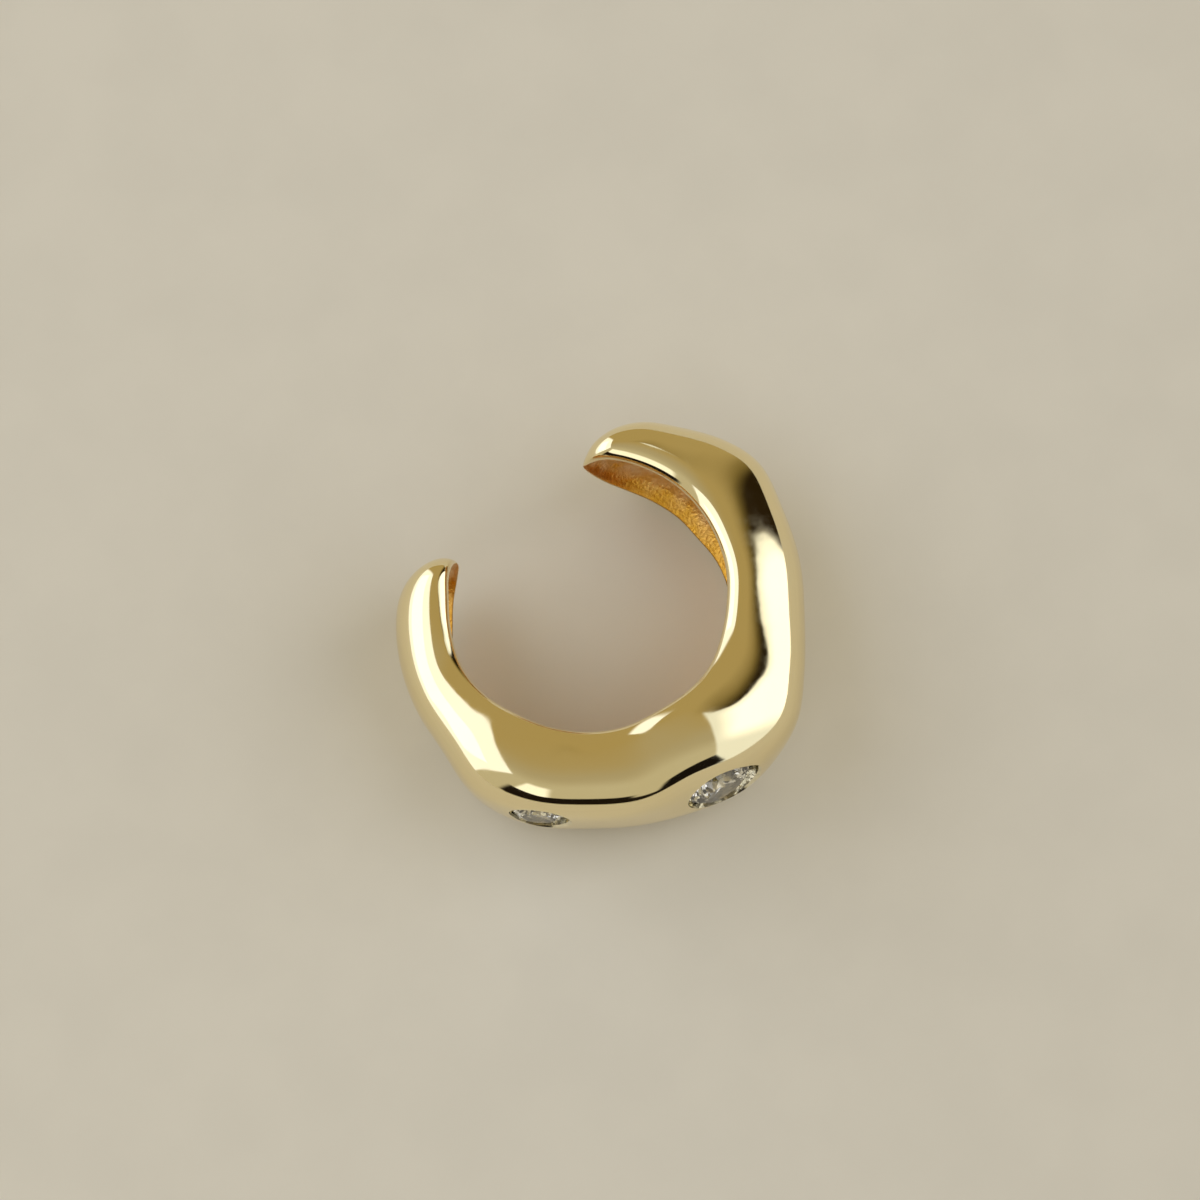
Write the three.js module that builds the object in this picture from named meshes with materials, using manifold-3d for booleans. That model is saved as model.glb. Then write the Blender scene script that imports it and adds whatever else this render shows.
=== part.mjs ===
// An ear cuff: one cast gold band with an open back and two clear stones set flush in its front.
// Millimetres, +Z up. The cuff lies on its side, with the gap towards +Y and the front towards -Y.
// Angles called "at" are degrees round the hole from the front, anticlockwise seen from above.

import * as THREE from "three";
import { ConvexGeometry } from "three/addons/geometries/ConvexGeometry.js";
import { mergeVertices } from "three/addons/utils/BufferGeometryUtils.js";
import Module from "manifold-3d";

const wasm = await Module();
wasm.setup();

// Driving sizes
const HOLE_DIAMETER = 8.9; // across the round hollow, between the inner faces
const BAND_THICKNESS = 2.7; // radially, where the band is thick
const BAND_WIDTH = 4.8; // along the axis of the hole, where the band is widest
const GAP_START = 143.8; // where the longer arm ends
const GAP_END = -150.8; // where the shorter arm ends
const NOSE_REACH = 1.7; // how far back from a tip it thins
const NOSE_ROUND = 0.9; // how far back from a tip it narrows
const LIP_ROUND = 0.34; // how far the rounding of each lip reaches down from the crown
const LIP_LAND = 0.12; // flat edge of each lip beside the open back
const HOLLOW_DEPTH = 0.95; // of the open back, where it is deepest
const STONE_GAP = 0.05; // all round each stone in its seat
const MAIN_STONE_DIAMETER = 2.4;
const SIDE_STONE_DIAMETER = 1.8;
const STONE_SINK = 0.04; // of each table below the gold that it is set in
const BRIGHT_CUT = 0.08; // width of the bevel round each seat
const REST_FLAT = 0.03; // taken off the lowest edge, so that the cuff rests on a flat

// At a tip the lip, its edge and the hollow keep at most these shares of what is left there
const TIP_LIP = 0.6; // of half the width
const TIP_LAND = 0.1; // of half the width
const TIP_HOLLOW = 0.5; // of the thickness
const TIP_LEFT = 0.1; // of the full size, at the very tip

const LOWER_BOX = 2.4; // how square the lower outer corner is, all along the band
const HOLLOW_SQUARE = 0.7; // 1 gives the hollow a round floor, and less a flatter one
const STATIONS = 88; // cross-sections along the band
const EVEN_STATIONS = 0.7; // 1 spaces them evenly, and less gathers them at the tips
const LIP_STEPS = 4; // faces over the rounding of a lip
const SKIN_STEPS = 26; // faces over the outside of a cross-section
const HOLLOW_STEPS = 10; // faces across the open back
const SEAT_SIDES = 32; // faces round a seat
const MERGE = 1e-4; // points closer than this are one

// Proportions of a round brilliant cut, as shares of its diameter
const TABLE = 0.57;
const CROWN_HEIGHT = 0.15;
const STAR_RADIUS = 0.382;
const GIRDLE = 0.03;
const PAVILION_DEPTH = 0.43;
const LOWER_RADIUS = 0.115;

// Cross-sections. hole is a share of half HOLE_DIAMETER, and lean the share that the lower lip adds
// to it. thick is a share of BAND_THICKNESS, width and lift of BAND_WIDTH and hollow of HOLLOW_DEPTH.
// flare is how much thicker the section is at its lower edge, as a share. crown is where the section
// is highest, as a share of its thickness, and box is how square its upper outer corner is.
const SECTIONS = [
  { at: -152, hole: 1.03, lean: -0.03, thick: 0.36, flare: -0.08, width: 0.66, lift: 0, crown: 0.2, box: 2.2, hollow: 0.4 },
  { at: -140, hole: 1.025, lean: -0.03, thick: 0.542, flare: -0.12, width: 0.74, lift: 0, crown: 0.2, box: 2, hollow: 0.6 },
  { at: -130, hole: 1.005, lean: -0.02, thick: 0.625, flare: -0.14, width: 0.79, lift: -0.02, crown: 0.17, box: 2, hollow: 0.8 },
  { at: -115, hole: 1.01, lean: -0.01, thick: 0.648, flare: -0.16, width: 0.84, lift: -0.04, crown: 0.14, box: 2.1, hollow: 1 },
  { at: -100, hole: 1.025, lean: 0, thick: 0.65, flare: -0.17, width: 0.88, lift: -0.06, crown: 0.12, box: 2.3, hollow: 1 },
  { at: -85, hole: 1.015, lean: 0, thick: 0.72, flare: -0.17, width: 0.92, lift: -0.04, crown: 0.13, box: 2.4, hollow: 0.9 },
  { at: -70, hole: 0.995, lean: 0, thick: 0.955, flare: -0.1, width: 0.97, lift: -0.01, crown: 0.17, box: 2.8, hollow: 0.8 },
  { at: -55, hole: 0.99, lean: 0, thick: 0.99, flare: -0.04, width: 0.99, lift: 0, crown: 0.2, box: 4, hollow: 0.7 },
  { at: -40, hole: 0.985, lean: 0, thick: 0.95, flare: -0.06, width: 0.98, lift: 0, crown: 0.2, box: 3.6, hollow: 0.7 },
  { at: -25, hole: 0.98, lean: 0, thick: 0.985, flare: -0.04, width: 1, lift: 0, crown: 0.2, box: 3.7, hollow: 0.7 },
  { at: -10, hole: 0.972, lean: 0, thick: 1.035, flare: 0.09, width: 1.05, lift: 0.025, crown: 0.2, box: 3.9, hollow: 0.7 },
  { at: 5, hole: 0.984, lean: 0, thick: 1.153, flare: 0.05, width: 1.06, lift: 0.03, crown: 0.2, box: 3, hollow: 0.8 },
  { at: 20, hole: 0.984, lean: 0, thick: 1.16, flare: -0.1, width: 1, lift: 0, crown: 0.2, box: 2.4, hollow: 0.9 },
  { at: 35, hole: 0.965, lean: 0, thick: 1.01, flare: -0.15, width: 0.94, lift: -0.03, crown: 0.2, box: 2.2, hollow: 1 },
  { at: 50, hole: 0.965, lean: 0.03, thick: 0.905, flare: -0.15, width: 0.91, lift: -0.04, crown: 0.2, box: 2, hollow: 1 },
  { at: 65, hole: 0.99, lean: 0.05, thick: 0.88, flare: -0.15, width: 0.9, lift: -0.05, crown: 0.2, box: 2, hollow: 1 },
  { at: 80, hole: 1.01, lean: 0.04, thick: 0.9, flare: -0.15, width: 0.89, lift: -0.05, crown: 0.2, box: 2.1, hollow: 1 },
  { at: 93, hole: 1.035, lean: 0, thick: 0.99, flare: -0.13, width: 0.88, lift: -0.05, crown: 0.22, box: 2.1, hollow: 1 },
  { at: 103, hole: 1.05, lean: 0, thick: 0.9, flare: -0.12, width: 0.87, lift: -0.045, crown: 0.25, box: 2.05, hollow: 1 },
  { at: 115, hole: 1.055, lean: 0, thick: 0.75, flare: -0.06, width: 0.86, lift: -0.03, crown: 0.3, box: 2.1, hollow: 1 },
  { at: 128, hole: 1.055, lean: 0, thick: 0.63, flare: 0, width: 0.81, lift: 0.01, crown: 0.35, box: 2.2, hollow: 0.8 },
  { at: 144, hole: 1.055, lean: 0, thick: 0.42, flare: 0, width: 0.56, lift: 0.12, crown: 0.35, box: 2.2, hollow: 0.4 },
];

// Flush stones. at is where the stone sits round the band and facing where its table looks, both in
// degrees from the front, tilt is how far the table looks up, in degrees, and height is a share of
// BAND_WIDTH.
const STONES = [
  { name: "stone_main", diameter: MAIN_STONE_DIAMETER, at: -2.9, facing: -6.5, tilt: 3.5, height: 0.6 },
  { name: "stone_side", diameter: SIDE_STONE_DIAMETER, at: -52.2, facing: -43, tilt: 1, height: 0.62 },
];

// A smooth value of one column at any angle, through every row.
function column(name, at) {
  const rows = SECTIONS;
  const last = rows.length - 1;
  let i = 0;
  while (i < last - 1 && at > rows[i + 1].at) i += 1;
  const [a, b] = [rows[i], rows[i + 1]];
  const [before, after] = [rows[Math.max(i - 1, 0)], rows[Math.min(i + 2, last)]];
  const span = b.at - a.at;
  const t = (at - a.at) / span;
  const slopeA = ((b[name] - before[name]) / (b.at - before.at)) * span;
  const slopeB = ((after[name] - a[name]) / (after.at - a.at)) * span;
  const [t2, t3] = [t * t, t * t * t];
  return (
    (2 * t3 - 3 * t2 + 1) * a[name] +
    (t3 - 2 * t2 + t) * slopeA +
    (3 * t2 - 2 * t3) * b[name] +
    (t3 - t2) * slopeB
  );
}

const power = (x, p) => Math.sign(x) * Math.abs(x) ** p;

// One cross-section as [radius, height] pairs: over the outside from the upper lip to the lower
// lip, then back up the hollow. thin and narrow shrink it at a tip.
function crossSection(at, thin, narrow) {
  const inner = (HOLE_DIAMETER / 2) * column("hole", at);
  const lean = (HOLE_DIAMETER / 2) * column("lean", at);
  const half = (BAND_WIDTH / 2) * column("width", at) * narrow;
  const middle = BAND_WIDTH * (0.5 + column("lift", at));
  const thick = BAND_THICKNESS * column("thick", at) * thin;
  const crown = thick * column("crown", at);
  const lip = Math.min(LIP_ROUND, TIP_LIP * half);
  const land = Math.min(LIP_LAND, TIP_LAND * half);
  const depth = Math.min(HOLLOW_DEPTH * column("hollow", at), TIP_HOLLOW * thick);
  const flare = column("flare", at);
  const points = [];
  const face = (side, across, up) => {
    const rise = (side * up) / half;
    const towardsLower = (1 - rise) / 2;
    points.push([inner + lean * towardsLower + across * (1 - flare * rise), middle + side * up]);
  };
  for (let k = 0; k <= LIP_STEPS; k += 1) {
    const a = (Math.PI / 2) * (k / LIP_STEPS);
    face(1, crown * (1 - Math.cos(a)), half - lip * (1 - Math.sin(a)));
  }
  for (let k = 1; k < SKIN_STEPS; k += 1) {
    const a = Math.PI / 2 - Math.PI * (k / SKIN_STEPS);
    const corner = 2 / (a > 0 ? column("box", at) : LOWER_BOX);
    const across = crown + (thick - crown) * power(Math.cos(a), corner);
    face(1, across, half * power(Math.sin(a), corner));
  }
  for (let k = LIP_STEPS; k >= 0; k -= 1) {
    const a = (Math.PI / 2) * (k / LIP_STEPS);
    face(-1, crown * (1 - Math.cos(a)), half - lip * (1 - Math.sin(a)));
  }
  const mouth = half - lip - land;
  for (let k = 0; k <= HOLLOW_STEPS; k += 1) {
    const a = -Math.PI / 2 + Math.PI * (k / HOLLOW_STEPS);
    face(1, depth * power(Math.cos(a), HOLLOW_SQUARE), mouth * Math.sin(a));
  }
  return points;
}

// The point at an angle from the front, a radius from the axis of the hole and a height.
function polar(radius, at, height) {
  const a = THREE.MathUtils.degToRad(at - 90);
  return new THREE.Vector3(radius * Math.cos(a), radius * Math.sin(a), height);
}

// The ring of points that a cross-section makes at its place round the hole.
function ringAt(at, thin, narrow) {
  return crossSection(at, thin, narrow).map(([radius, height]) => polar(radius, at, height));
}

// A closed surface through rings of equal length, with a fan of faces over each end.
function loft(rings) {
  const size = rings[0].length;
  const vertices = rings.flat();
  const faces = [];
  for (let i = 0; i < rings.length - 1; i += 1) {
    for (let k = 0; k < size; k += 1) {
      const [a, b] = [i * size + k, i * size + ((k + 1) % size)];
      faces.push(a, b, b + size, a, b + size, a + size);
    }
  }
  for (const [start, flip] of [[0, true], [vertices.length - size, false]]) {
    const middle = new THREE.Vector3();
    for (let k = 0; k < size; k += 1) middle.addScaledVector(vertices[start + k], 1 / size);
    vertices.push(middle);
    for (let k = 0; k < size; k += 1) {
      const [a, b] = [start + k, start + ((k + 1) % size)];
      faces.push(vertices.length - 1, ...(flip ? [b, a] : [a, b]));
    }
  }
  return new THREE.BufferGeometry().setFromPoints(vertices).setIndex(faces);
}

// How much of its size a section keeps this many millimetres from the tip.
function noseAt(distance, reach) {
  const t = Math.min(distance / reach, 1);
  return Math.max(Math.sqrt(1 - (1 - t) ** 2), TIP_LEFT);
}

function bandGeometry() {
  const turn = GAP_START - GAP_END;
  const arc = THREE.MathUtils.degToRad(turn) * (HOLE_DIAMETER / 2);
  const rings = [];
  for (let i = 0; i <= STATIONS; i += 1) {
    const even = i / STATIONS;
    const eased = (1 - Math.cos(Math.PI * even)) / 2;
    const share = EVEN_STATIONS * even + (1 - EVEN_STATIONS) * eased;
    const fromTip = arc * Math.min(share, 1 - share);
    rings.push(ringAt(GAP_END + share * turn, noseAt(fromTip, NOSE_REACH), noseAt(fromTip, NOSE_ROUND)));
  }
  return loft(rings);
}

// A closed geometry as a solid that can be joined and cut.
function toSolid(geometry) {
  const bare = geometry.clone();
  for (const name of ["normal", "uv"]) bare.deleteAttribute(name);
  const merged = mergeVertices(bare, MERGE);
  return new wasm.Manifold(
    new wasm.Mesh({
      numProp: 3,
      vertProperties: merged.attributes.position.array,
      triVerts: new Uint32Array(merged.index.array),
    }),
  );
}

function toGeometry(solid) {
  const { numProp, vertProperties, triVerts } = solid.getMesh();
  const geometry = new THREE.BufferGeometry();
  geometry.setAttribute("position", new THREE.BufferAttribute(new Float32Array(vertProperties), numProp));
  geometry.setIndex(new THREE.BufferAttribute(triVerts, 1));
  geometry.computeVertexNormals();
  return geometry;
}

// The place of a stone: where the middle of its table lies and the way that the table looks.
function stonePlace({ at, facing, tilt, height }) {
  const reach = (HOLE_DIAMETER / 2) * column("hole", at) + BAND_THICKNESS * column("thick", at);
  const rise = THREE.MathUtils.degToRad(tilt);
  const way = polar(Math.cos(rise), facing, Math.sin(rise));
  return { table: polar(reach, at, BAND_WIDTH * height).addScaledVector(way, -STONE_SINK), way };
}

// Turns a geometry whose axis is +Y, with its table at the origin, to a stone's place.
function placed(geometry, stone) {
  const { table, way } = stonePlace(stone);
  const turn = new THREE.Quaternion().setFromUnitVectors(new THREE.Vector3(0, 1, 0), way);
  return geometry.applyQuaternion(turn).translate(table.x, table.y, table.z);
}

// A round brilliant cut with its table at the origin, looking along +Y.
function brilliant(diameter) {
  const ring = (share, height, sides, from) =>
    Array.from({ length: sides }, (_, k) => {
      const a = ((k + from) / sides) * 2 * Math.PI;
      return new THREE.Vector3(share * Math.cos(a), height - CROWN_HEIGHT, share * Math.sin(a));
    });
  // height of a crown or pavilion main facet half way between two of them
  const slope = (radius, inner, rise) => (rise * (0.5 - radius * Math.cos(Math.PI / 8))) / (0.5 - inner);
  const points = [
    ...ring(TABLE / 2, CROWN_HEIGHT, 8, 0),
    ...ring(STAR_RADIUS, slope(STAR_RADIUS, TABLE / 2, CROWN_HEIGHT), 8, 0.5),
    ...ring(0.5, 0, 16, 0),
    ...ring(0.5, -GIRDLE, 16, 0),
    ...ring(LOWER_RADIUS, -GIRDLE - slope(LOWER_RADIUS, 0, PAVILION_DEPTH), 8, 0.5),
    new THREE.Vector3(0, -GIRDLE - PAVILION_DEPTH - CROWN_HEIGHT, 0),
  ];
  return new ConvexGeometry(points.map((point) => point.multiplyScalar(diameter)));
}

// What is bored out of the band for a stone: a bevelled mouth, a straight bore to the girdle and a
// cone under the pavilion, all of them STONE_GAP clear of the stone.
function seatCutter(diameter) {
  const bore = diameter / 2 + STONE_GAP;
  const girdle = -(CROWN_HEIGHT + GIRDLE) * diameter - STONE_GAP / 2;
  const culet = girdle - (PAVILION_DEPTH / 0.5) * bore;
  const mouth = STONE_SINK - BRIGHT_CUT;
  const out = BAND_THICKNESS / 4;
  const profile = [
    [0, culet],
    [bore, girdle],
    [bore, mouth],
    [bore + out, mouth + out],
    [0, mouth + out],
  ];
  return new THREE.LatheGeometry(profile.map(([x, y]) => new THREE.Vector2(x, y)), SEAT_SIDES);
}

function cuffSolid() {
  let solid = toSolid(bandGeometry());
  for (const stone of STONES) solid = solid.subtract(toSolid(placed(seatCutter(stone.diameter), stone)));
  const ground = new THREE.BoxGeometry(4 * HOLE_DIAMETER, 4 * HOLE_DIAMETER, BAND_WIDTH);
  ground.translate(0, 0, REST_FLAT - BAND_WIDTH / 2);
  return solid.subtract(toSolid(ground));
}

const gold = new THREE.MeshStandardMaterial({ color: 0xe6c27a, metalness: 1, roughness: 0.12 });
const crystal = () => new THREE.MeshStandardMaterial({ color: 0xf4f4f2, metalness: 0, roughness: 0.02 });

const cuff = new THREE.Group();
const band = new THREE.Mesh(toGeometry(cuffSolid()), gold);
band.name = "cuff_band";
cuff.add(band);
for (const stone of STONES) {
  const mesh = new THREE.Mesh(placed(brilliant(stone.diameter), stone), crystal());
  mesh.name = stone.name;
  cuff.add(mesh);
}

// The origin is the middle of the footprint, on the surface that the cuff rests on.
const box = new THREE.Box3().setFromObject(band);
const middle = box.getCenter(new THREE.Vector3());
cuff.position.set(-middle.x, -middle.y, -box.min.z);

export default cuff;
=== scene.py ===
"""The looks of a small ear cuff: a cast gold band with an open back and two flush-set clear stones.

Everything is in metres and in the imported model's frame. Angles called "at" are degrees round the hole
from the front of the band, anticlockwise seen from above.
"""

import logging
import math
from dataclasses import dataclass
from enum import Enum

import bmesh
import bpy
from mathutils import Matrix, Vector


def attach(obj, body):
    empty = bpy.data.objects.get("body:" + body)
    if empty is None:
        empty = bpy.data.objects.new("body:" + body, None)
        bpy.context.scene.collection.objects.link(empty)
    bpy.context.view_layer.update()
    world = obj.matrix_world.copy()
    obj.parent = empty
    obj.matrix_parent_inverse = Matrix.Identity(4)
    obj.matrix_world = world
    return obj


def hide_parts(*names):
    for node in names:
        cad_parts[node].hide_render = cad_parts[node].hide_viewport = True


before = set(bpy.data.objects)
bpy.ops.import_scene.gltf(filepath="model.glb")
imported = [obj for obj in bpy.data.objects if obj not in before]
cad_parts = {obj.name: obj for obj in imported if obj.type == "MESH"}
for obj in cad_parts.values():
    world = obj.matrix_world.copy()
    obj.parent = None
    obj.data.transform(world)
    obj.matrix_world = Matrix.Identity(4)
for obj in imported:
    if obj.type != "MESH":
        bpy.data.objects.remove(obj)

LOG = logging.getLogger("ear_cuff")
MM = 0.001
WELD = 0.0005 * MM
FRONT = -90.0
BAND_NAME = "cuff_band_gold"
Colour = tuple[float, float, float]
Span = tuple[float, float]
Tree = bpy.types.NodeTree
Socket = bpy.types.NodeSocket


class Zone(Enum):
    """Where on a cross-section a point lies."""

    SKIN = 0.0
    HOLLOW = 1.0


class MixKind(Enum):
    """What a mix node mixes, with the places of its two inputs and its output."""

    NUMBERS = ("FLOAT", 2, 3, 0)
    COLOURS = ("RGBA", 6, 7, 2)


@dataclass(frozen=True)
class Section:
    """One row of the band's table of cross-sections.

    hole is a share of half the hole's diameter, and lean the share that the lower lip adds to it.
    thick is a share of the band's thickness, width and lift of its width and hollow of the depth of
    the open back. flare is how much thicker the section is at its lower edge, as a share. crown is
    where the section is highest, as a share of its thickness, and box is how square its upper outer
    corner is.
    """

    at: float
    hole: float
    lean: float
    thick: float
    flare: float
    width: float
    lift: float
    crown: float
    box: float
    hollow: float


SECTIONS = (
    Section(-152, 1.03, -0.03, 0.36, -0.08, 0.66, 0, 0.2, 2.2, 0.4),
    Section(-140, 1.025, -0.03, 0.542, -0.12, 0.74, 0, 0.2, 2, 0.6),
    Section(-130, 1.005, -0.02, 0.625, -0.14, 0.79, -0.02, 0.17, 2, 0.8),
    Section(-115, 1.01, -0.01, 0.648, -0.16, 0.84, -0.04, 0.14, 2.1, 1),
    Section(-100, 1.025, 0, 0.65, -0.17, 0.88, -0.06, 0.12, 2.3, 1),
    Section(-85, 1.015, 0, 0.72, -0.17, 0.92, -0.04, 0.13, 2.4, 0.9),
    Section(-70, 0.995, 0, 0.955, -0.1, 0.97, -0.01, 0.17, 2.8, 0.8),
    Section(-55, 0.99, 0, 0.99, -0.04, 0.99, 0, 0.2, 4, 0.7),
    Section(-40, 0.985, 0, 0.95, -0.06, 0.98, 0, 0.2, 3.6, 0.7),
    Section(-25, 0.98, 0, 0.985, -0.04, 1, 0, 0.2, 3.7, 0.7),
    Section(-10, 0.972, 0, 1.035, 0.09, 1.05, 0.025, 0.2, 3.9, 0.7),
    Section(5, 0.984, 0, 1.153, 0.05, 1.06, 0.03, 0.2, 3, 0.8),
    Section(20, 0.984, 0, 1.16, -0.1, 1, 0, 0.2, 2.4, 0.9),
    Section(35, 0.965, 0, 1.01, -0.15, 0.94, -0.03, 0.2, 2.2, 1),
    Section(50, 0.965, 0.03, 0.905, -0.15, 0.91, -0.04, 0.2, 2, 1),
    Section(65, 0.99, 0.05, 0.88, -0.15, 0.9, -0.05, 0.2, 2, 1),
    Section(80, 1.01, 0.04, 0.9, -0.15, 0.89, -0.05, 0.2, 2.1, 1),
    Section(93, 1.035, 0, 0.99, -0.13, 0.88, -0.05, 0.22, 2.1, 1),
    Section(103, 1.05, 0, 0.9, -0.12, 0.87, -0.045, 0.25, 2.05, 1),
    Section(115, 1.055, 0, 0.75, -0.06, 0.86, -0.03, 0.3, 2.1, 1),
    Section(128, 1.055, 0, 0.63, 0, 0.81, 0.01, 0.35, 2.2, 0.8),
    Section(144, 1.055, 0, 0.42, 0, 0.56, 0.12, 0.35, 2.2, 0.4),
)


def column(name: str, at: float) -> float:
    """Reads one column of the table at any angle, smoothly through every row.

    Args:
        name: the column.
        at: degrees round the hole.

    Returns:
        The column's value there.
    """
    last = len(SECTIONS) - 1
    i = 0
    while i < last - 1 and at > SECTIONS[i + 1].at:
        i += 1
    a, b = SECTIONS[i], SECTIONS[i + 1]
    before, after = SECTIONS[max(i - 1, 0)], SECTIONS[min(i + 2, last)]
    span = b.at - a.at
    t = (at - a.at) / span
    low, high = getattr(a, name), getattr(b, name)
    slope_low = (high - getattr(before, name)) / (b.at - before.at) * span
    slope_high = (getattr(after, name) - low) / (after.at - a.at) * span
    t2, t3 = t * t, t**3
    return (
        (2 * t3 - 3 * t2 + 1) * low
        + (t3 - 2 * t2 + t) * slope_low
        + (3 * t2 - 2 * t3) * high
        + (t3 - t2) * slope_high
    )


def power(value: float, exponent: float) -> float:
    """Raises a number's size to a power and keeps its sign."""
    return math.copysign(abs(value) ** exponent, value)


def around(radius: float, at: float, height: float) -> Vector:
    """The point at a radius from the hole's axis, an angle from the front and a height."""
    a = math.radians(at + FRONT)
    return Vector((radius * math.cos(a), radius * math.sin(a), height))


def new_object(
    name: str,
    bm: bmesh.types.BMesh,
    material: bpy.types.Material | None = None,
    smooth: bool = False,
) -> bpy.types.Object:
    """Turns finished geometry into an object in the scene.

    Args:
        name: the name of the object and its mesh.
        bm: the geometry, which is freed.
        material: its finish.
        smooth: whether its faces are shaded smoothly.

    Returns:
        The object, unturned at the origin.
    """
    for face in bm.faces:
        face.smooth = smooth
    mesh = bpy.data.meshes.new(name)
    bm.to_mesh(mesh)
    bm.free()
    if material:
        mesh.materials.append(material)
    made = bpy.data.objects.new(name, mesh)
    bpy.context.scene.collection.objects.link(made)
    return made


def set_input(tree: Tree, socket: Socket, value: object) -> None:
    """Links or sets one input of a node.

    Args:
        tree: the node tree.
        socket: the input.
        value: a socket, a number, a vector or a colour of three numbers.
    """
    if isinstance(value, Socket):
        tree.links.new(value, socket)
    elif socket.type == "RGBA":
        socket.default_value = (*value, 1)
    else:
        socket.default_value = value


def set_inputs(tree: Tree, node: bpy.types.Node, values: dict[str, object]) -> None:
    """Links or sets named inputs of a node.

    Args:
        tree: the node tree.
        node: the node.
        values: a value for each input, as set_input takes it.
    """
    for name, value in values.items():
        set_input(tree, node.inputs[name], value)


def add_node(tree: Tree, kind: str, **values: object) -> bpy.types.Node:
    """Adds a shader node and sets its inputs.

    Args:
        tree: the node tree.
        kind: the node's type, without the words ShaderNode.
        **values: the inputs, with _ for a space. A value that is a socket is linked.

    Returns:
        The node.
    """
    node = tree.nodes.new("ShaderNode" + kind)
    set_inputs(tree, node, {name.replace("_", " "): value for name, value in values.items()})
    return node


def calculate(tree: Tree, operation: str, *values: object) -> Socket:
    """Adds a math node.

    Args:
        tree: the node tree.
        operation: the node's operation.
        *values: its inputs in order, sockets or numbers.

    Returns:
        The node's result.
    """
    node = add_node(tree, "Math")
    node.operation = operation
    for socket, value in zip(node.inputs, values):
        set_input(tree, socket, value)
    return node.outputs[0]


def mix(tree: Tree, kind: MixKind, share: Socket, low: object, high: object) -> Socket:
    """Adds a mix of two numbers or two colours.

    Args:
        tree: the node tree.
        kind: what is mixed.
        share: how much of high there is, from 0 to 1.
        low: the result at 0, a socket or a value.
        high: the result at 1.

    Returns:
        The mixed number or colour.
    """
    node = add_node(tree, "Mix")
    node.data_type, first, second, result = kind.value
    for index, value in {0: share, first: low, second: high}.items():
        set_input(tree, node.inputs[index], value)
    return node.outputs[result]


def remap(tree: Tree, value: Socket, span: Span, onto: Span = (0.0, 1.0)) -> Socket:
    """Maps one range of numbers smoothly onto another, held at its ends.

    Args:
        tree: the node tree.
        value: the number to map.
        span: the range that it comes from.
        onto: the range that it goes to.

    Returns:
        The mapped number.
    """
    node = add_node(
        tree, "MapRange", Value=value, From_Min=span[0], From_Max=span[1], To_Min=onto[0], To_Max=onto[1]
    )
    node.interpolation_type = "SMOOTHSTEP"
    return node.outputs["Result"]


def read_attribute(tree: Tree, name: str) -> Socket:
    """Reads one of the mesh's attributes.

    Args:
        tree: the node tree.
        name: the attribute.

    Returns:
        Its value.
    """
    node = add_node(tree, "Attribute")
    node.attribute_name = name
    return node.outputs["Fac"]


def new_group(
    name: str, inputs: dict[str, str], outputs: tuple[str, ...]
) -> tuple[Tree, bpy.types.bpy_prop_collection, bpy.types.bpy_prop_collection]:
    """Starts a shader node group.

    Args:
        name: the group's name.
        inputs: the kind of each named input, Float or Vector.
        outputs: the names of its outputs, which are numbers.

    Returns:
        The group's tree, the sockets that give its inputs and those that take its outputs.
    """
    tree = bpy.data.node_groups.new(name, "ShaderNodeTree")
    for socket, kind in inputs.items():
        tree.interface.new_socket(socket, in_out="INPUT", socket_type="NodeSocket" + kind)
    for socket in outputs:
        tree.interface.new_socket(socket, in_out="OUTPUT", socket_type="NodeSocketFloat")
    return tree, tree.nodes.new("NodeGroupInput").outputs, tree.nodes.new("NodeGroupOutput").inputs


def place_group(tree: Tree, group: Tree, values: dict[str, object]) -> bpy.types.bpy_prop_collection:
    """Places a group in a material or the sky.

    Args:
        tree: the node tree that it goes into.
        group: the group.
        values: its inputs.

    Returns:
        The group's outputs.
    """
    node = add_node(tree, "Group")
    node.node_tree = group
    set_inputs(tree, node, values)
    return node.outputs


@dataclass(frozen=True)
class GrainEffect:
    """A shared shader group: soft grain of any scale, for tints, roughness and bumps."""

    name: str = "soft_grain"
    dark_to_light: Span = (0.3, 0.7)

    def group(self) -> Tree:
        """Builds the group once.

        Returns:
            The group, with inputs Per mm, Detail, Low and High and outputs Value and Height.
        """
        if self.name in bpy.data.node_groups:
            return bpy.data.node_groups[self.name]
        names = ("Per mm", "Detail", "Low", "High")
        tree, given, results = new_group(self.name, dict.fromkeys(names, "Float"), ("Value", "Height"))
        place = add_node(tree, "TexCoord").outputs["Object"]
        in_mm = add_node(tree, "Mapping", Vector=place, Scale=(1 / MM, 1 / MM, 1 / MM)).outputs[0]
        noise = add_node(tree, "TexNoise", Vector=in_mm, Scale=given["Per mm"], Detail=given["Detail"])
        height = noise.outputs["Fac"]
        share = remap(tree, height, self.dark_to_light)
        span = calculate(tree, "SUBTRACT", given["High"], given["Low"])
        tree.links.new(calculate(tree, "MULTIPLY_ADD", share, span, given["Low"]), results["Value"])
        tree.links.new(height, results["Height"])
        return tree

    def place(
        self, tree: Tree, per_mm: float, low: float = 0.0, high: float = 1.0, detail: float = 3.0
    ) -> bpy.types.bpy_prop_collection:
        """Places the group in a material.

        Args:
            tree: the material's node tree.
            per_mm: how fine the grain is.
            low: Value where the grain is darkest.
            high: Value where it is lightest.
            detail: how many finer layers it has.

        Returns:
            The group's outputs.
        """
        values = {"Per mm": per_mm, "Low": low, "High": high, "Detail": detail}
        return place_group(tree, self.group(), values)


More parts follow.
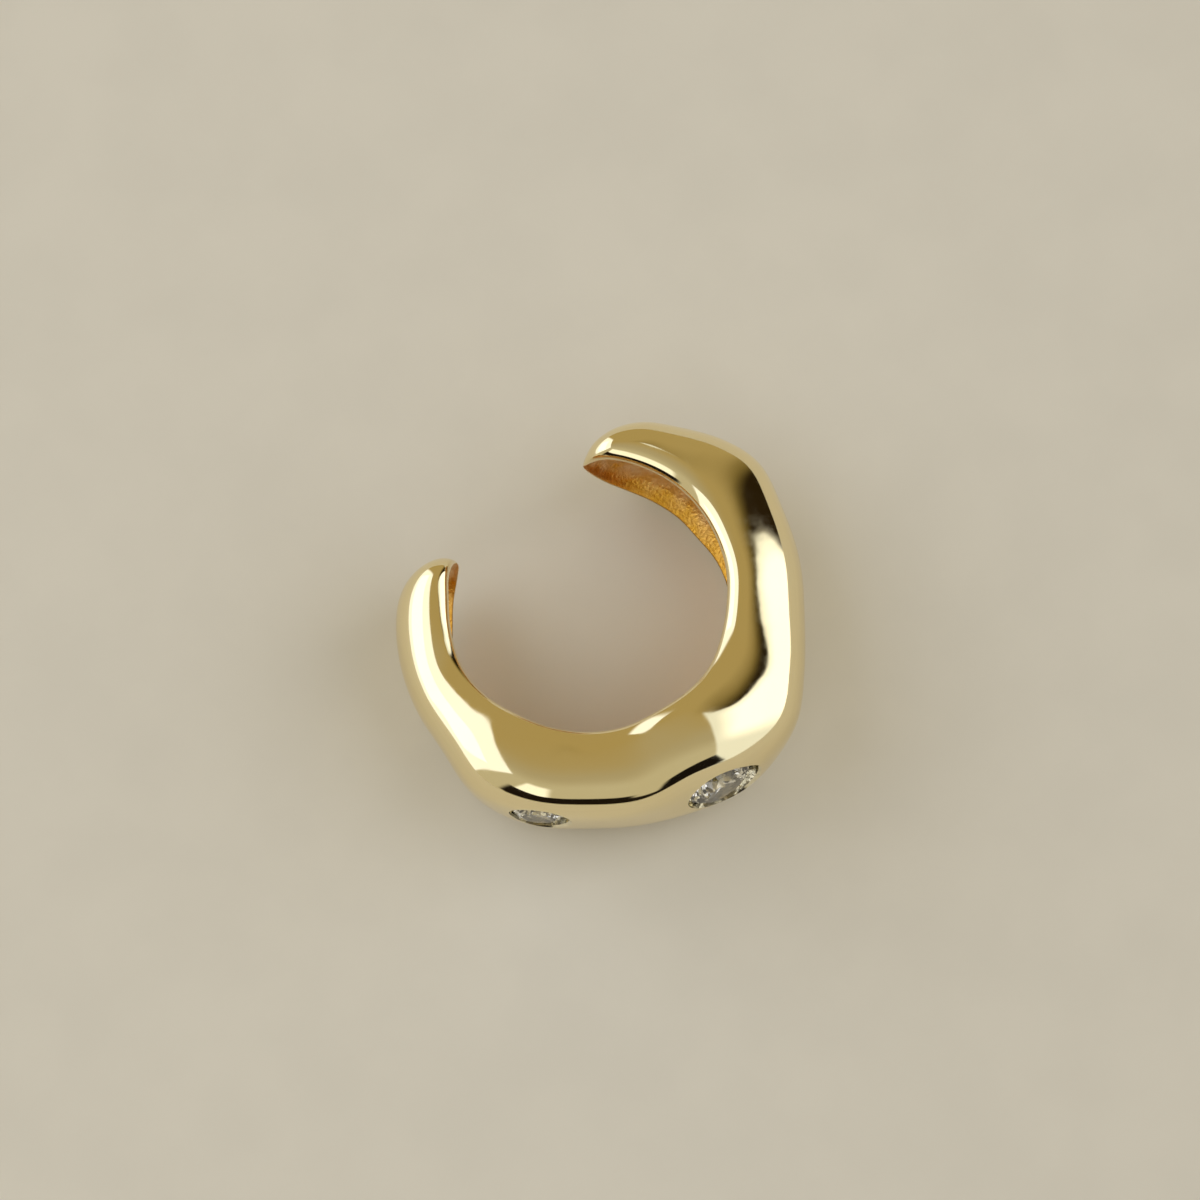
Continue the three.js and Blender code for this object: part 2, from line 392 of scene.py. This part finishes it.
def new_material(name: str) -> tuple[bpy.types.Material, Tree, bpy.types.Node]:
    """Makes an empty material with a Principled shader.

    Args:
        name: the material's name.

    Returns:
        The material, its node tree and the shader.
    """
    material = bpy.data.materials.new(name)
    material.use_nodes = True
    tree = material.node_tree
    return material, tree, tree.nodes["Principled BSDF"]


@dataclass(frozen=True)
class GoldFinish:
    """Pale gold: mirror polished outside and rough, redder, as-cast metal in the open back.

    The paler colour of the rougher strip along the back's middle is a painted highlight; its
    roughness is real. Grains are counted per mm. hollow_edge and streak_fade are where the as-cast
    metal starts and where that strip fades, as values of the band's hollow and across attributes.
    """

    polished: Colour = (0.93, 0.81, 0.51)
    warmth: Colour = (1.0, 0.97, 0.9)
    cast: Colour = (0.72, 0.38, 0.04)
    # Colour of the rough strip along the open back's middle, paler than the cast metal: a painted
    # highlight.
    rough_streak_and_painted_highlight: Colour = (0.92, 0.73, 0.48)
    hollow_edge: Span = (0.35, 0.75)
    streak_fade: Span = (0.45, 0.85)
    polish: Span = (0.045, 0.09)
    cast_rough: Span = (0.28, 0.55)
    rough_from: Span = (0.0, 0.6)
    warm_share: float = 0.35
    warm_grain: float = 0.5
    streak_grain: float = 1.6
    polish_grain: float = 3.0
    ripple_grain: float = 0.8
    pit_grain: float = 9.0
    soft_detail: float = 2.0
    rough_detail: float = 5.0
    ripple: float = 0.004 * MM
    pit: float = 0.05 * MM

    def material(self) -> bpy.types.Material:
        """Builds the finish from the band's hollow and across attributes.

        Returns:
            The material.
        """
        material, tree, shader = new_material("gold")
        grain = GrainEffect()
        inside = remap(tree, read_attribute(tree, "hollow"), self.hollow_edge)
        middle = remap(tree, read_attribute(tree, "across"), self.streak_fade, (1.0, 0.0))
        patch = grain.place(tree, self.streak_grain, detail=self.rough_detail)["Value"]
        # Mask along the middle of the open back: the paler colour it brings is a painted highlight, while
        # the extra roughness it gives is real.
        rough_streak_and_painted_highlight = calculate(tree, "MULTIPLY", calculate(tree, "MULTIPLY", middle, inside), patch)
        tint = grain.place(tree, self.warm_grain, high=self.warm_share)["Value"]
        warm = tuple(share * part for share, part in zip(self.warmth, self.polished))
        skin = mix(tree, MixKind.COLOURS, tint, self.polished, warm)
        # Colour of the open back: the as-cast metal, lightened along its middle by the painted highlight.
        cast_with_painted_highlight = mix(tree, MixKind.COLOURS, rough_streak_and_painted_highlight, self.cast, self.rough_streak_and_painted_highlight)
        polish = grain.place(tree, self.polish_grain, *self.polish)["Value"]
        cast_rough = remap(tree, rough_streak_and_painted_highlight, self.rough_from, self.cast_rough)
        ripple = grain.place(tree, self.ripple_grain, detail=self.soft_detail)["Height"]
        pits = grain.place(tree, self.pit_grain, detail=self.rough_detail)["Height"]
        deep = calculate(tree, "MULTIPLY", calculate(tree, "MULTIPLY", pits, inside), self.pit)
        height = calculate(tree, "MULTIPLY_ADD", ripple, self.ripple, deep)
        bump = add_node(tree, "Bump", Strength=1.0, Distance=1.0, Height=height)
        wanted = {
            "Base Color": mix(tree, MixKind.COLOURS, inside, skin, cast_with_painted_highlight),
            "Metallic": 1.0,
            "Roughness": mix(tree, MixKind.NUMBERS, inside, polish, cast_rough),
            "Normal": bump.outputs[0],
        }
        set_inputs(tree, shader, wanted)
        return material


@dataclass(frozen=True)
class SeatFinish:
    """The gold round and under a stone: freshly cut, with fine bright and dull marks."""

    bright: Colour = (0.97, 0.9, 0.68)
    dull_share: float = 0.8
    rough: Span = (0.08, 0.16)
    mark_grain: float = 6.0
    rough_grain: float = 8.0

    def material(self) -> bpy.types.Material:
        """Builds the finish.

        Returns:
            The material.
        """
        material, tree, shader = new_material("seat_gold")
        grain = GrainEffect()
        marks = grain.place(tree, self.mark_grain)["Value"]
        dull = tuple(self.dull_share * part for part in self.bright)
        wanted = {
            "Base Color": mix(tree, MixKind.COLOURS, marks, self.bright, dull),
            "Metallic": 1.0,
            "Roughness": grain.place(tree, self.rough_grain, *self.rough)["Value"],
        }
        set_inputs(tree, shader, wanted)
        return material


@dataclass(frozen=True)
class StoneFinish:
    """A clear, colourless, highly refracting stone with faint polishing haze."""

    clear: Colour = (0.96, 0.94, 0.9)
    smoke: Colour = (0.88, 0.84, 0.77)
    refraction: float = 2.15
    haze_grain: float = 2.5
    haze_detail: float = 2.0
    rough: Span = (0.0, 0.03)
    rough_grain: float = 5.0

    def material(self) -> bpy.types.Material:
        """Builds the finish.

        Returns:
            The material.
        """
        material, tree, shader = new_material("clear_stone")
        grain = GrainEffect()
        haze = grain.place(tree, self.haze_grain, detail=self.haze_detail)["Value"]
        wanted = {
            "Base Color": mix(tree, MixKind.COLOURS, haze, self.clear, self.smoke),
            "Roughness": grain.place(tree, self.rough_grain, *self.rough)["Value"],
            "IOR": self.refraction,
            "Transmission Weight": 1.0,
        }
        set_inputs(tree, shader, wanted)
        return material


@dataclass(frozen=True)
class FloorFinish:
    """The plain pale floor, matt and with the faintest grain."""

    colour: Colour = (0.73, 0.68, 0.58)
    deep_share: float = 0.97
    rough: float = 0.9
    shine: float = 0.2
    shade_grain: float = 0.3
    shade_detail: float = 6.0

    def material(self) -> bpy.types.Material:
        """Builds the finish.

        Returns:
            The material.
        """
        material, tree, shader = new_material("floor_pale")
        shade = GrainEffect().place(tree, self.shade_grain, detail=self.shade_detail)["Value"]
        deeper = tuple(self.deep_share * part for part in self.colour)
        wanted = {
            "Base Color": mix(tree, MixKind.COLOURS, shade, self.colour, deeper),
            "Roughness": self.rough,
            "Specular IOR Level": self.shine,
        }
        set_inputs(tree, shader, wanted)
        return material


@dataclass(frozen=True)
class StoneSeat:
    """The mouth, bore and cone that a flush stone sits in.

    crown, girdle and pavilion are the stone's heights above, at and below its girdle, as shares of
    its diameter.
    """

    name: str
    diameter: float
    at: float
    facing: float
    tilt: float
    height: float
    gap: float = 0.05 * MM
    sink: float = 0.04 * MM
    bright_cut: float = 0.08 * MM
    crown: float = 0.15
    girdle: float = 0.03
    pavilion: float = 0.43
    sides: int = 96

    def table(self, band: "CuffBand") -> tuple[Vector, Vector]:
        """Finds where the stone's table lies.

        Args:
            band: the band that holds it.

        Returns:
            The table's middle and the way that it faces.
        """
        reach = band.hole / 2 * column("hole", self.at) + band.thickness * column("thick", self.at)
        rise = math.radians(self.tilt)
        way = around(math.cos(rise), self.facing, math.sin(rise))
        return around(reach, self.at, band.width * self.height) + band.origin - way * self.sink, way

    def cutter(self, band: "CuffBand", material: bpy.types.Material) -> bpy.types.Object:
        """Turns the seat's profile into the solid that is cut out of the band.

        Args:
            band: the band that it is cut from.
            material: the finish of the cut faces.

        Returns:
            The cutter, which isn't a piece and is removed after the cut.
        """
        bore = self.diameter / 2 + self.gap
        girdle = -(self.crown + self.girdle) * self.diameter - self.gap / 2
        culet = girdle - 2 * self.pavilion * bore
        mouth = self.sink - self.bright_cut
        out = band.thickness / 4
        profile = ((0, culet), (bore, girdle), (bore, mouth), (bore + out, mouth + out), (0, mouth + out))
        bm = bmesh.new()
        points = [bm.verts.new((x, 0, z)) for x, z in profile]
        edges = [bm.edges.new(pair) for pair in zip(points, points[1:])]
        bmesh.ops.spin(
            bm,
            geom=points + edges,
            cent=(0, 0, 0),
            axis=(0, 0, 1),
            angle=2 * math.pi,
            steps=self.sides,
            use_merge=True,
        )
        bmesh.ops.remove_doubles(bm, verts=bm.verts, dist=WELD)
        bmesh.ops.recalc_face_normals(bm, faces=bm.faces)
        middle, way = self.table(band)
        turn = way.to_track_quat("Z", "Y").to_matrix().to_4x4()
        bmesh.ops.transform(bm, matrix=Matrix.Translation(middle) @ turn, verts=bm.verts)
        return new_object(self.name + "_seat", bm, material, smooth=True)


@dataclass
class CuffBand:
    """The cast band: one open ring of changing cross-section with a hollowed back.

    The values whose names start with tip are shares of a section's half width or thickness that
    hold where a tip narrows. even_stations is the share of the cross-sections' spacing that is
    even, and the rest of it crowds them towards the tips.
    """

    hole: float = 8.9 * MM
    thickness: float = 2.7 * MM
    width: float = 4.8 * MM
    gap_start: float = 143.8
    gap_end: float = -150.8
    nose_reach: float = 1.7 * MM
    nose_round: float = 0.9 * MM
    lip_round: float = 0.34 * MM
    lip_land: float = 0.12 * MM
    hollow_depth: float = 0.95 * MM
    lower_box: float = 2.4
    hollow_square: float = 0.7
    tip_lip: float = 0.6
    tip_land: float = 0.1
    tip_hollow: float = 0.5
    tip_left: float = 0.1
    stations: int = 88
    even_stations: float = 0.7
    lip_steps: int = 4
    skin_steps: int = 26
    hollow_steps: int = 10
    smoothness: int = 2
    sharp_angle: float = 40.0
    origin: Vector = Vector((-0.3197 * MM, 1.5145 * MM, -0.03 * MM))

    def section(self, at: float, thin: float, narrow: float) -> list[tuple[Vector, Zone, float]]:
        """Works out one cross-section.

        Args:
            at: degrees round the hole.
            thin: the share of the thickness that is left, near a tip.
            narrow: the share of the width that is left.

        Returns:
            Its points in order from the upper lip over the outside to the lower lip and back up the
            hollow, each with its zone and how far across the open back it lies, from 0 to 1.
        """
        inner = self.hole / 2 * column("hole", at)
        lean = self.hole / 2 * column("lean", at)
        half = self.width / 2 * column("width", at) * narrow
        middle = self.width * (0.5 + column("lift", at))
        thick = self.thickness * column("thick", at) * thin
        crown = thick * column("crown", at)
        lip = min(self.lip_round, self.tip_lip * half)
        land = min(self.lip_land, self.tip_land * half)
        depth = min(self.hollow_depth * column("hollow", at), self.tip_hollow * thick)
        flare = column("flare", at)
        points: list[tuple[Vector, Zone, float]] = []

        def face(across: float, up: float, zone: Zone) -> None:
            """Adds a point.

            Args:
                across: how far out from the inner face it lies.
                up: how far up from the section's middle it lies.
                zone: where on the section it lies.
            """
            rise = up / half
            radius = inner + lean * (1 - rise) / 2 + across * (1 - flare * rise)
            place = around(radius, at, middle + up) + self.origin
            points.append((place, zone, min(abs(rise), 1.0)))

        for k in range(self.lip_steps + 1):
            a = math.pi / 2 * k / self.lip_steps
            face(crown * (1 - math.cos(a)), half - lip * (1 - math.sin(a)), Zone.SKIN)
        for k in range(1, self.skin_steps):
            a = math.pi / 2 - math.pi * k / self.skin_steps
            corner = 2 / (column("box", at) if a > 0 else self.lower_box)
            across = crown + (thick - crown) * power(math.cos(a), corner)
            face(across, half * power(math.sin(a), corner), Zone.SKIN)
        for k in range(self.lip_steps, -1, -1):
            a = math.pi / 2 * k / self.lip_steps
            face(crown * (1 - math.cos(a)), -half + lip * (1 - math.sin(a)), Zone.SKIN)
        mouth = half - lip - land
        for k in range(self.hollow_steps + 1):
            a = -math.pi / 2 + math.pi * k / self.hollow_steps
            inside = Zone.SKIN if k == self.hollow_steps else Zone.HOLLOW
            face(depth * power(math.cos(a), self.hollow_square), mouth * math.sin(a), inside)
        return points

    def nose(self, distance: float, reach: float) -> float:
        """How much of its size a section keeps this far from the tip."""
        t = min(distance / reach, 1)
        return max(math.sqrt(1 - (1 - t) ** 2), self.tip_left)

    def station(self, share: float) -> list[tuple[Vector, Zone, float]]:
        """Works out the cross-section part of the way from the shorter arm's tip to the longer one's.

        Args:
            share: the share of the way.

        Returns:
            The section's points, as section gives them.
        """
        turn = self.gap_start - self.gap_end
        from_tip = math.radians(turn) * self.hole / 2 * min(share, 1 - share)
        thin = self.nose(from_tip, self.nose_reach)
        narrow = self.nose(from_tip, self.nose_round)
        return self.section(self.gap_end + share * turn, thin, narrow)

    def cage(self, gold: bpy.types.Material) -> bpy.types.Object:
        """Extrudes a ring of points from tip to tip, through every cross-section.

        Args:
            gold: the band's finish.

        Returns:
            The band's control mesh, with the hollow and across attributes.
        """
        bm = bmesh.new()
        order = bm.verts.layers.int.new("order")
        hollow = bm.verts.layers.float.new("hollow")
        across = bm.verts.layers.float.new("across")
        count = len(self.station(0.0))
        ring = bmesh.ops.create_circle(bm, cap_ends=True, segments=count, radius=self.width / 2)["verts"]
        for index, vertex in enumerate(ring):
            vertex[order] = index
        edges = list(bm.edges)
        for step in range(self.stations + 1):
            if step:
                grown = bmesh.ops.extrude_edge_only(bm, edges=edges)["geom"]
                ring = [part for part in grown if isinstance(part, bmesh.types.BMVert)]
                new = set(ring)
                edges = [
                    part
                    for part in grown
                    if isinstance(part, bmesh.types.BMEdge) and new.issuperset(part.verts)
                ]
            even = step / self.stations
            eased = (1 - math.cos(math.pi * even)) / 2
            points = self.station(self.even_stations * even + (1 - self.even_stations) * eased)
            for vertex in ring:
                place, zone, side = points[vertex[order]]
                vertex.co = place
                vertex[hollow] = zone.value
                vertex[across] = side
        bmesh.ops.holes_fill(bm, edges=edges, sides=count)
        bmesh.ops.recalc_face_normals(bm, faces=bm.faces)
        return new_object(BAND_NAME, bm, gold, smooth=True)

    def ground(self, gold: bpy.types.Material) -> bpy.types.Object:
        """Makes the block that is cut off the lowest edge, so that the cuff rests on a flat.

        Args:
            gold: the finish of the flat.

        Returns:
            The block, which isn't a piece and is removed after the cut.
        """
        side = 4 * self.hole
        bm = bmesh.new()
        bmesh.ops.create_cube(bm, size=side)
        bmesh.ops.translate(bm, vec=(0, 0, -side / 2), verts=bm.verts)
        return new_object("rest_flat", bm, gold)

    def build(
        self, seats: list[StoneSeat], gold: bpy.types.Material, cut: bpy.types.Material
    ) -> bpy.types.Object:
        """Smooths the band and cuts its flat and the seats into it.

        Args:
            seats: the stones' seats.
            gold: the band's finish.
            cut: the finish inside the seats.

        Returns:
            The finished band.
        """
        band = self.cage(gold)
        smooth = band.modifiers.new("smooth", "SUBSURF")
        smooth.levels = self.smoothness
        smooth.render_levels = self.smoothness
        cutters = [seat.cutter(self, cut) for seat in seats] + [self.ground(gold)]
        for cutter in cutters:
            cut_out = band.modifiers.new(cutter.name, "BOOLEAN")
            cut_out.operation = "DIFFERENCE"
            cut_out.solver = "EXACT"
            cut_out.object = cutter
            cut_out.material_mode = "TRANSFER"
        bpy.context.view_layer.update()
        graph = bpy.context.evaluated_depsgraph_get()
        finished = bpy.data.meshes.new_from_object(band.evaluated_get(graph))
        band.modifiers.clear()
        rough_mesh = band.data
        band.data = finished
        bpy.data.meshes.remove(rough_mesh)
        for cutter in cutters:
            bpy.data.objects.remove(cutter)
        finished.name = BAND_NAME
        finished.set_sharp_from_angle(angle=math.radians(self.sharp_angle))
        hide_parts("cuff_band")
        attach(band, "root")
        LOG.info("band: %d faces", len(finished.polygons))
        return band


@dataclass(frozen=True)
class FlushStones:
    """The two clear stones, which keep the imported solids' facets."""

    names: tuple[str, ...] = ("stone_main", "stone_side")

    def dress(self, clear: bpy.types.Material) -> None:
        """Gives the stones their finish.

        Args:
            clear: the stones' finish.
        """
        for name in self.names:
            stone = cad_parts[name]
            stone.data.materials.clear()
            stone.data.materials.append(clear)
            LOG.info("stone %s: %d faces", name, len(stone.data.polygons))


@dataclass(frozen=True)
class SoftBox:
    """A soft rectangular light, placed by where it is seen from the cuff.

    azimuth is in degrees anticlockwise from the picture's right.
    """

    name: str
    azimuth: float
    elevation: float
    wide: float
    tall: float
    bright: float
    distance: float = 120 * MM
    colour: Colour = (1, 0.98, 0.94)


@dataclass(frozen=True)
class SkyEdge:
    """A straight edge of a patch of the room.

    azimuth and elevation give the direction square to the edge, on the patch's side. soft is half the
    width over which the edge fades, as a sine.
    """

    azimuth: float
    elevation: float
    soft: float


@dataclass(frozen=True)
class SkyPatch:
    """A part of the room with one colour: a window, a wall or a dark card."""

    name: str
    colour: Colour
    edges: tuple[SkyEdge, ...]


@dataclass(frozen=True)
class EdgeEffect:
    """A shared shader group: how far a direction lies past an edge, softly."""

    name: str = "soft_edge"

    def group(self) -> Tree:
        """Builds the group once.

        Returns:
            The group, with inputs Direction, Inwards and Soft and the output Value.
        """
        if self.name in bpy.data.node_groups:
            return bpy.data.node_groups[self.name]
        kinds = {"Direction": "Vector", "Inwards": "Vector", "Soft": "Float"}
        tree, given, results = new_group(self.name, kinds, ("Value",))
        dot = add_node(tree, "VectorMath")
        dot.operation = "DOT_PRODUCT"
        tree.links.new(given["Direction"], dot.inputs[0])
        tree.links.new(given["Inwards"], dot.inputs[1])
        past = calculate(tree, "DIVIDE", dot.outputs["Value"], given["Soft"])
        tree.links.new(remap(tree, past, (-1.0, 1.0)), results["Value"])
        return tree

    def place(self, tree: Tree, way: Socket, inwards: Vector, soft: float) -> Socket:
        """Places the group in a node tree.

        Args:
            tree: the node tree.
            way: the direction that is tested.
            inwards: the direction square to the edge, on the patch's side.
            soft: half the width over which the edge fades, as a sine.

        Returns:
            The group's Value.
        """
        values = {"Direction": way, "Inwards": inwards, "Soft": soft}
        return place_group(tree, self.group(), values)["Value"]


@dataclass
class Studio:
    """The floor, the room's windows and walls, the soft light and the camera.

    turn is how far the picture's right is turned from the frame's +X, in degrees. hole_pixel is
    where the middle of the hole falls in the photograph. sky_span is the height over which the
    room's low colour turns into its high one.
    """

    turn: float = -39.0
    camera_elevation: float = 74.5
    camera_distance: float = 221 * MM
    lens: float = 210.48
    sensor: float = 36.0
    nearest: float = 0.01
    farthest: float = 10.0
    hole_middle: Vector = Vector((-0.3197 * MM, 1.5145 * MM, 4.4 * MM))
    hole_pixel: Span = (590.0, 597.0)
    picture: int = 1200
    floor_size: float = 1.2
    sky_high: Colour = (0.43, 0.38, 0.26)
    sky_low: Colour = (0.37, 0.31, 0.15)
    sky_span: Span = (0.2, 0.95)
    boxes: tuple[SoftBox, ...] = (
        SoftBox("light_west", azimuth=166, elevation=26, wide=110 * MM, tall=70 * MM, bright=0.5),
    )
    patches: tuple[SkyPatch, ...] = (
        SkyPatch("north_wall", (0.42, 0.33, 0.15), (SkyEdge(85, -6, 0.2),)),
        SkyPatch("south_wall", (0.54, 0.5, 0.38), (SkyEdge(-105, -14, 0.2),)),
        SkyPatch(
            "south_window",
            (1.2, 1.22, 1.2),
            (
                SkyEdge(-120, -28, 0.06),
                SkyEdge(60, 62, 0.05),
                SkyEdge(-40, 0, 0.03),
                SkyEdge(173, 0, 0.05),
            ),
        ),
        SkyPatch("brown_wall", (0.2, 0.15, 0.05), (SkyEdge(116.6, -11.4, 0.02), SkyEdge(-31, 1.5, 0.12))),
        SkyPatch("dark_wall", (0.02, 0.012, 0.004), (SkyEdge(116.6, -11.4, 0.02), SkyEdge(-41, 1, 0.09))),
        SkyPatch(
            "east_window",
            (0.92, 0.96, 0.98),
            (SkyEdge(-63.4, 11.4, 0.01), SkyEdge(22.8, -7.9, 0.02), SkyEdge(30, -14, 0.025)),
        ),
        SkyPatch(
            "east_core",
            (1.6, 1.63, 1.7),
            (SkyEdge(-63.4, 9, 0.06), SkyEdge(20, -28, 0.2), SkyEdge(80, 10, 0.2)),
        ),
        SkyPatch(
            "west_window",
            (1.2, 1.25, 1.35),
            (SkyEdge(178, -26, 0.02), SkyEdge(113, 0, 0.015), SkyEdge(213, 0, 0.06)),
        ),
        SkyPatch(
            "dark_card",
            (0.008, 0.006, 0.005),
            (
                SkyEdge(-105, -61, 0.02),
                SkyEdge(75, 87, 0.01),
                SkyEdge(-170, 0, 0.03),
                SkyEdge(-42, 0, 0.02),
            ),
        ),
        SkyPatch(
            "dark_card_east",
            (0.008, 0.006, 0.005),
            (
                SkyEdge(-60, -60, 0.02),
                SkyEdge(120, 87, 0.01),
                SkyEdge(-142, 0, 0.02),
                SkyEdge(22, 0, 0.03),
            ),
        ),
        SkyPatch(
            "dark_corner",
            (0.012, 0.008, 0.005),
            (
                SkyEdge(-142, -55, 0.02),
                SkyEdge(38, 86, 0.01),
                SkyEdge(-46, 0, 0.05),
                SkyEdge(-62, 0, 0.01),
            ),
        ),
    )

    def direction(self, azimuth: float, elevation: float) -> Vector:
        """The way from the cuff, with the azimuth counted from the picture's right."""
        a, e = math.radians(azimuth + self.turn), math.radians(elevation)
        return Vector((math.cos(a) * math.cos(e), math.sin(a) * math.cos(e), math.sin(e)))

    def floor(self) -> None:
        """Lays the plain pale floor."""
        bm = bmesh.new()
        bmesh.ops.create_grid(bm, x_segments=1, y_segments=1, size=self.floor_size / 2)
        new_object("floor", bm, FloorFinish().material())

    def light(self, box: SoftBox) -> None:
        """Hangs a soft light.

        Args:
            box: the light.
        """
        way = self.direction(box.azimuth, box.elevation)
        data = bpy.data.lights.new(box.name, "AREA")
        data.shape = "RECTANGLE"
        data.size = box.wide
        data.size_y = box.tall
        data.energy = box.bright * math.pi * box.wide * box.tall
        data.color = box.colour
        lamp = bpy.data.objects.new(box.name, data)
        lamp.location = self.hole_middle + way * box.distance
        lamp.rotation_euler = way.to_track_quat("Z", "Y").to_euler()
        bpy.context.scene.collection.objects.link(lamp)

    def sky(self) -> None:
        """Paints the room round the cuff: warm walls with soft windows and dark cards over them."""
        world = bpy.data.worlds.new("studio")
        world.use_nodes = True
        tree = world.node_tree
        way = add_node(tree, "TexCoord").outputs["Generated"]
        height = add_node(tree, "SeparateXYZ", Vector=way).outputs["Z"]
        share = remap(tree, height, self.sky_span)
        colour = mix(tree, MixKind.COLOURS, share, self.sky_low, self.sky_high)
        edge_effect = EdgeEffect()
        for patch in self.patches:
            inside: object = 1.0
            for edge in patch.edges:
                inwards = self.direction(edge.azimuth, edge.elevation)
                past = edge_effect.place(tree, way, inwards, edge.soft)
                inside = calculate(tree, "MULTIPLY", inside, past)
            colour = mix(tree, MixKind.COLOURS, inside, colour, patch.colour)
            colour.node.label = patch.name
        tree.links.new(colour, tree.nodes["Background"].inputs["Color"])
        bpy.context.scene.world = world

    def camera(self) -> None:
        """Sets the camera at the photograph's angle, so that the hole's middle falls on its pixel."""
        away = self.direction(-90, self.camera_elevation)
        right = self.direction(0, 0)
        up = away.cross(right)
        per_pixel = self.camera_distance * self.sensor / self.lens / self.picture
        across = (self.hole_pixel[0] - self.picture / 2) * per_pixel
        down = (self.hole_pixel[1] - self.picture / 2) * per_pixel
        aim = self.hole_middle - right * across + up * down
        data = bpy.data.cameras.new("camera")
        data.lens = self.lens
        data.sensor_width = self.sensor
        data.clip_start = self.nearest
        data.clip_end = self.farthest
        camera = bpy.data.objects.new("camera", data)
        camera.location = aim + away * self.camera_distance
        camera.rotation_euler = away.to_track_quat("Z", "Y").to_euler()
        bpy.context.scene.collection.objects.link(camera)
        bpy.context.scene.camera = camera

    def build(self) -> None:
        """Builds the whole studio."""
        self.camera()
        self.floor()
        self.sky()
        for box in self.boxes:
            self.light(box)
        bpy.context.scene.view_settings.view_transform = "Standard"
        LOG.info("studio: %d lights, %d patches", len(self.boxes), len(self.patches))


def main() -> None:
    """Builds the cuff's pieces and the studio, in order."""
    logging.basicConfig(level=logging.INFO, format="%(name)s: %(message)s")
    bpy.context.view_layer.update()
    seats = [
        StoneSeat("stone_main", diameter=2.4 * MM, at=-2.9, facing=-6.5, tilt=3.5, height=0.6),
        StoneSeat("stone_side", diameter=1.8 * MM, at=-52.2, facing=-43, tilt=1, height=0.62),
    ]
    CuffBand().build(seats, GoldFinish().material(), SeatFinish().material())
    FlushStones().dress(StoneFinish().material())
    Studio().build()


if __name__ == "__main__":
    main()
